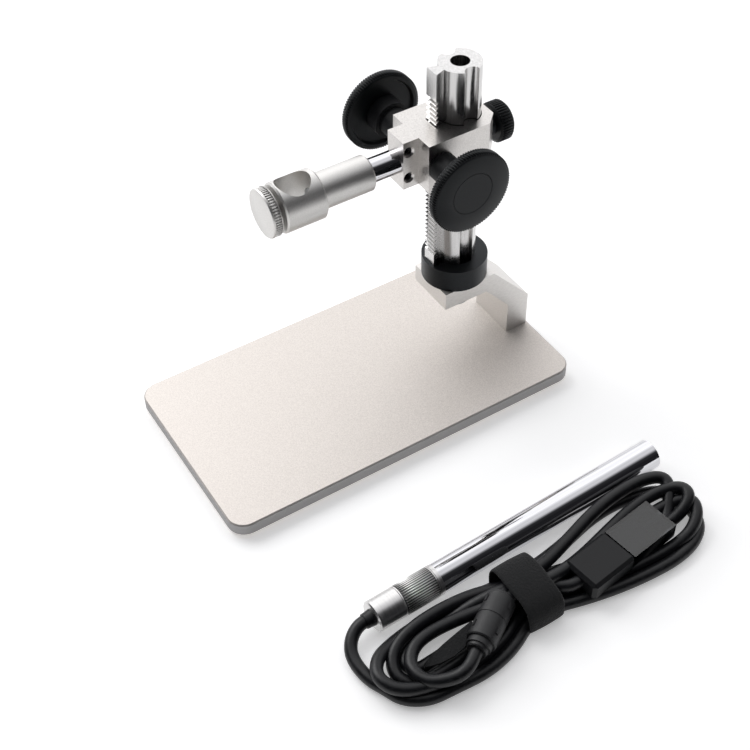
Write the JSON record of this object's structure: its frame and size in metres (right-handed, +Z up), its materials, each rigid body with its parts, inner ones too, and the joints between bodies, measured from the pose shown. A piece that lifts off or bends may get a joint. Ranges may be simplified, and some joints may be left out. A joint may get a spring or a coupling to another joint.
{
  "type": "pen microscope with focusing stand",
  "caption": "Pen-shaped USB microscope beside a bench stand: flat plate, riser, rack column, focusing carriage and a tilting arm with a cross-bored pen holder.",
  "frame": {"origin": "centre of the base plate, on the bench that its feet stand on", "axes": "+Z up; -Y is the front, where the arm carries the pen holder over the plate; +X is the right side, where the pen and its lead lie"},
  "size_m": [0.1744, 0.15, 0.134],
  "materials": {
    "brushed_aluminium": "satin brushed plate with a fine matt grain",
    "milled_aluminium": "milled, lightly polished",
    "bright_column": "extruded and bright, with faint drawing lines",
    "black_anodised": "black anodised, satin",
    "black_knob": "black moulded, slightly glossy, fine straight knurl",
    "chrome_plate": "polished chrome plate",
    "turned_holder": "turned and polished, with a fine straight knurl on the cap",
    "turned_pen": "turned satin aluminium, fluted on the ring",
    "screw_steel": "bare steel",
    "bush_brass": "turned brass",
    "black_rubber": "matt",
    "white_nylon": "natural nylon",
    "clear_glass": "clear, polished",
    "circuit_board": "solder-masked board",
    "led_lens": "clear dome over yellow phosphor",
    "sensor_glass": "dark sensor under its cover glass",
    "black_pvc": "soft satin cable sheath",
    "black_overmould": "moulded, fine matt texture",
    "hook_and_loop": "short woven loop pile",
    "plug_shell": "nickel-plated sheet",
    "clear_plastic": "clear moulded cap"
  },
  "bodies": {
    "stand": {"base_plate": "brushed_aluminium", "rubber_feet": "black_rubber", "riser_bracket": "milled_aluminium", "bracket_screws": "screw_steel", "column_collar": "black_anodised", "rack_column": "bright_column", "column_screw": "screw_steel"},
    "carriage": {"carriage_block": "milled_aluminium", "nose_grub_screws": "screw_steel", "shaft_bushes": "bush_brass", "arm_rod": "chrome_plate", "holder_retaining_screw": "screw_steel", "lock_boss": "bush_brass"},
    "focus_shaft": {"pinion_shaft": "screw_steel", "knob_hub_left": "black_knob", "knob_hub_right": "black_knob", "hub_grub_screw_left": "screw_steel", "hub_grub_screw_right": "screw_steel", "focus_knob_left": "black_knob", "focus_knob_right": "black_knob", "knob_cap_left": "black_knob", "knob_cap_right": "black_knob"},
    "lock_slider": {"lock_pad": "white_nylon"},
    "lock_screw": {"lock_stud": "screw_steel", "lock_knob": "black_knob"},
    "holder": {"pen_holder": "turned_holder"},
    "clamp_slider": {"clamp_pad": "white_nylon"},
    "clamp_screw": {"clamp_cap": "turned_holder"},
    "pen": {"pen_tube": "chrome_plate", "tube_collar": "turned_pen", "tail_body": "turned_pen", "tail_cap": "turned_pen", "pen_core": "turned_pen", "objective_barrel": "black_anodised", "objective_lenses": "clear_glass", "led_board": "circuit_board", "lamp_leds": "led_lens", "front_window": "clear_glass", "cord_gland": "black_pvc", "cord_tube": "black_pvc", "cord_hank": "black_pvc", "cord_tie": "hook_and_loop", "ferrite_choke": "black_overmould", "usb_overmould": "black_overmould", "usb_shell": "plug_shell", "usb_tongue": "white_nylon", "usb_clear_cap": "clear_plastic"},
    "ring": {"focus_ring": "turned_pen"},
    "sensor_slider": {"sensor_carrier": "black_anodised", "drive_pin": "screw_steel", "main_board": "circuit_board", "sensor_board": "circuit_board", "image_sensor": "sensor_glass"}
  },
  "joints": [
    {"name": "focus_travel", "type": "slide", "parent": "stand", "child": "carriage", "axis": [0, 0, 1], "range_m": [-0.043, 0.017]},
    {"name": "focus_turn", "type": "hinge", "parent": "carriage", "child": "focus_shaft", "pos_m": [0, 0.0305, 0.1038], "axis": [1, 0, 0], "range_deg": [-272, 686]},
    {"name": "lock_travel", "type": "slide", "parent": "carriage", "child": "lock_slider", "axis": [0, 1, 0], "range_m": [-0.00015, 0.002]},
    {"name": "lock_turn", "type": "hinge", "parent": "lock_slider", "child": "lock_screw", "pos_m": [0, 0.06, 0.1034], "axis": [0, 1, 0], "range_deg": [-78, 1030]},
    {"name": "holder_tilt", "type": "hinge", "parent": "carriage", "child": "holder", "pos_m": [0, -0.0211, 0.1034], "axis": [0, 1, 0], "continuous": true},
    {"name": "clamp_travel", "type": "slide", "parent": "holder", "child": "clamp_slider", "axis": [0, 1, 0], "range_m": [-0.0006, 0.001]},
    {"name": "clamp_turn", "type": "hinge", "parent": "clamp_slider", "child": "clamp_screw", "pos_m": [0, -0.03, 0.1034], "axis": [0, 1, 0], "range_deg": [-271, 451]},
    {"name": "pen_lift", "type": "slide", "parent": "stand", "child": "pen", "axis": [0, 0, 1], "range_m": [0, 0.12]},
    {"name": "ring_turn", "type": "hinge", "parent": "pen", "child": "ring", "pos_m": [0.09582, -0.03512, 0.00575], "axis": [-0.0404, 0.9992, 0], "range_deg": [-151.5, 151.5]},
    {"name": "sensor_travel", "type": "slide", "parent": "pen", "child": "sensor_slider", "axis": [-0.0404, 0.9992, 0], "range_m": [-0.0025, 0.0025]}
  ],
  "couplings": [
    {"joint": "focus_turn", "follows": "focus_travel", "rad_per_m": -277.78},
    {"joint": "lock_turn", "follows": "lock_travel", "rad_per_m": 8976},
    {"joint": "clamp_turn", "follows": "clamp_travel", "rad_per_m": 7854},
    {"joint": "ring_turn", "follows": "sensor_travel", "rad_per_m": 1052.6}
  ]
}
